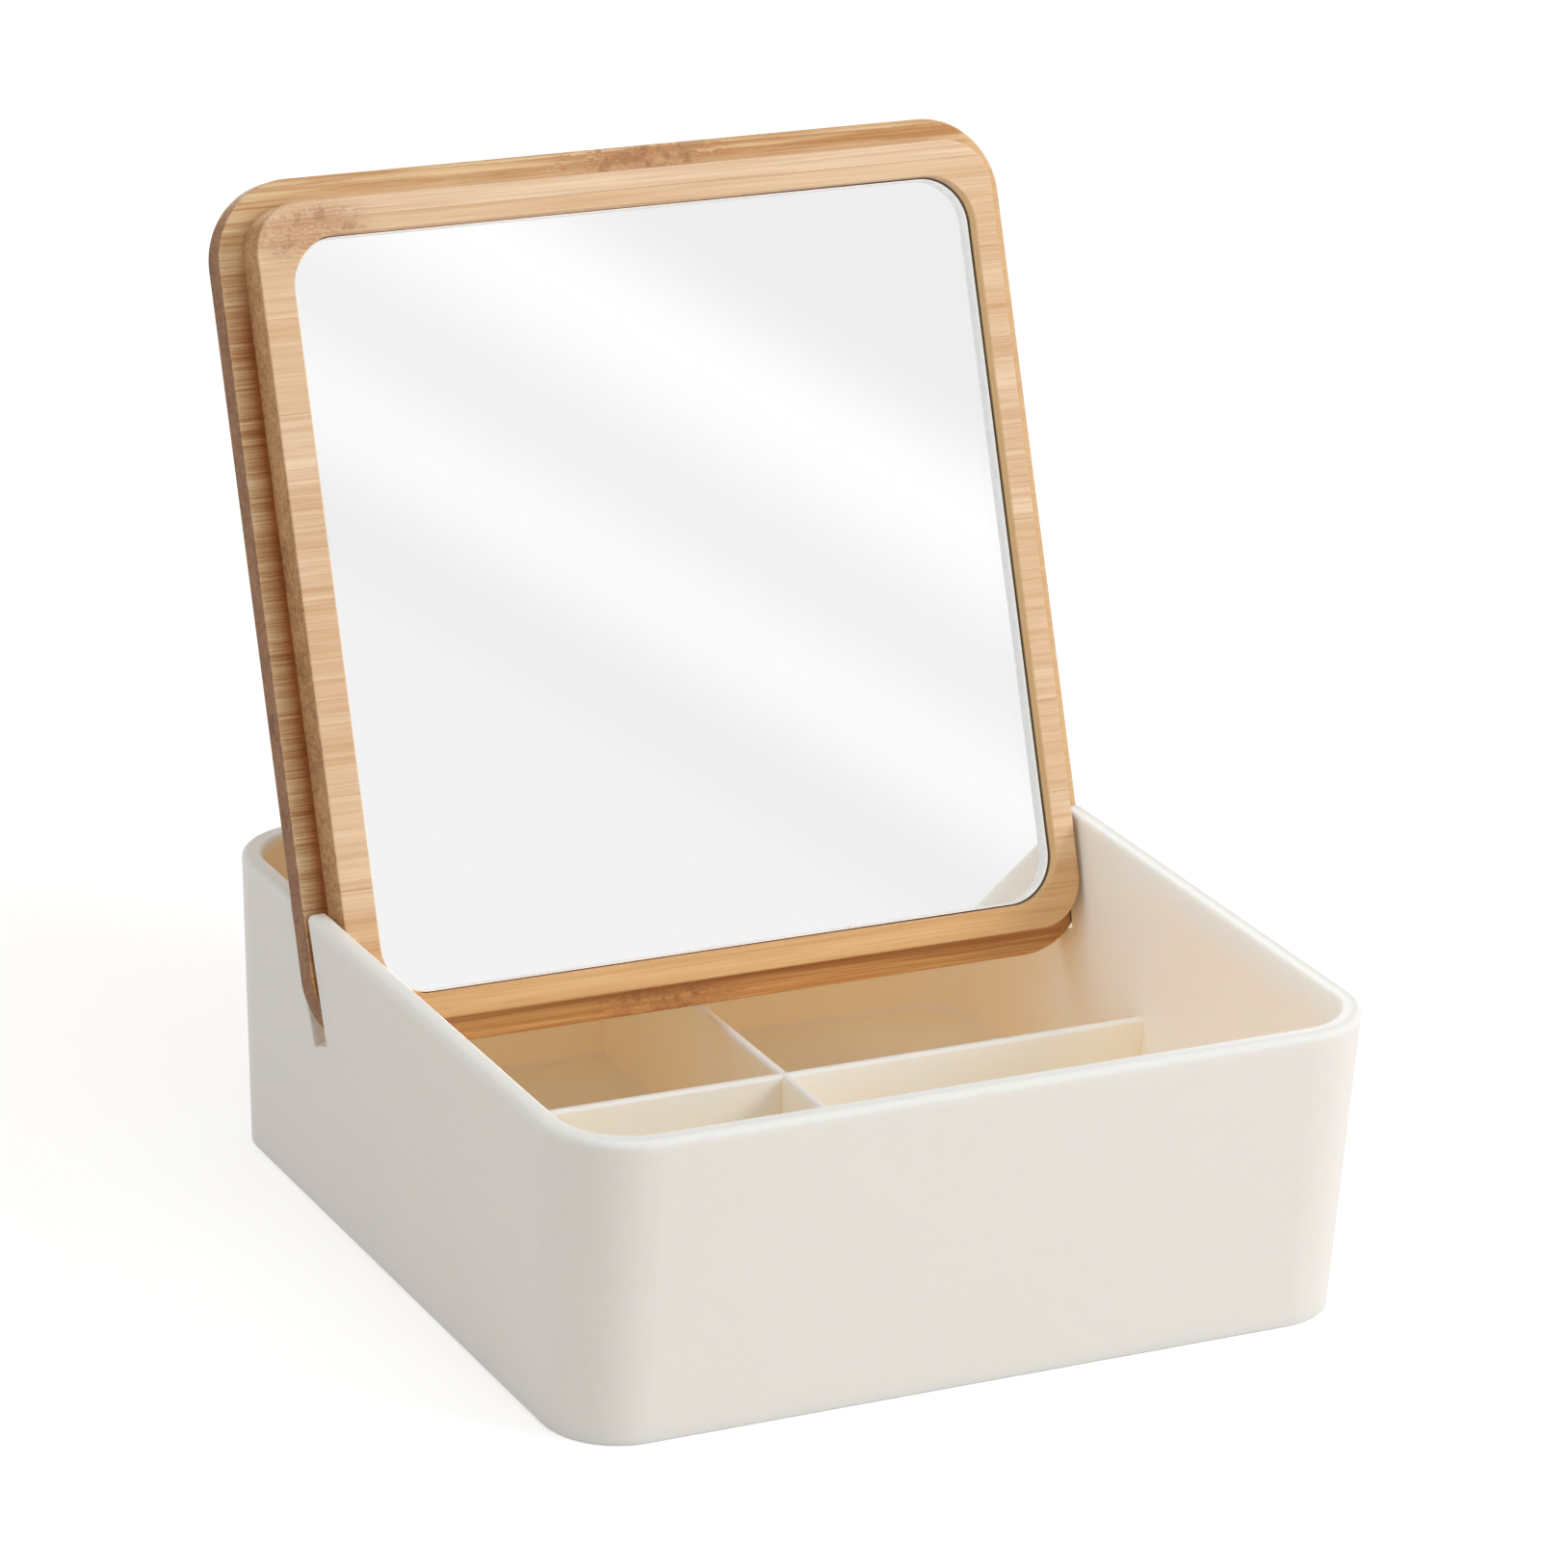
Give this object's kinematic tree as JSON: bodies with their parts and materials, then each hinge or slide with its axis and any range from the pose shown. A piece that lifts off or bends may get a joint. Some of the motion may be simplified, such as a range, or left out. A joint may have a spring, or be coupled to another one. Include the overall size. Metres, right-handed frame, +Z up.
{
  "type": "vanity box with mirror",
  "caption": "Square vanity box: a tapered plastic tub with crossed dividers, and a bamboo lid with an inset mirror that stands leaning in slots in the side walls.",
  "frame": {"origin": "middle of the tub's footprint, in the plane of the surface it stands on", "axes": "+Z up, +X to the right along the front, +Y to the back, towards which the lid leans"},
  "size_m": [0.18, 0.1926, 0.2032],
  "materials": {
    "tub_plastic": "satin",
    "bamboo": "satin",
    "mirror": "polished",
    "foam_tape": "matte"
  },
  "bodies": {
    "tub": {"tub": "tub_plastic"},
    "lid": {"lid_plate": "bamboo", "mirror_board": "bamboo", "mirror_glass": "mirror", "mirror_tape": "foam_tape"}
  },
  "joints": [
    {"name": "lid_lift", "type": "slide", "parent": "tub", "child": "lid", "axis": [0, 0.3665, 0.9304], "range_m": [0, 0.06]}
  ]
}
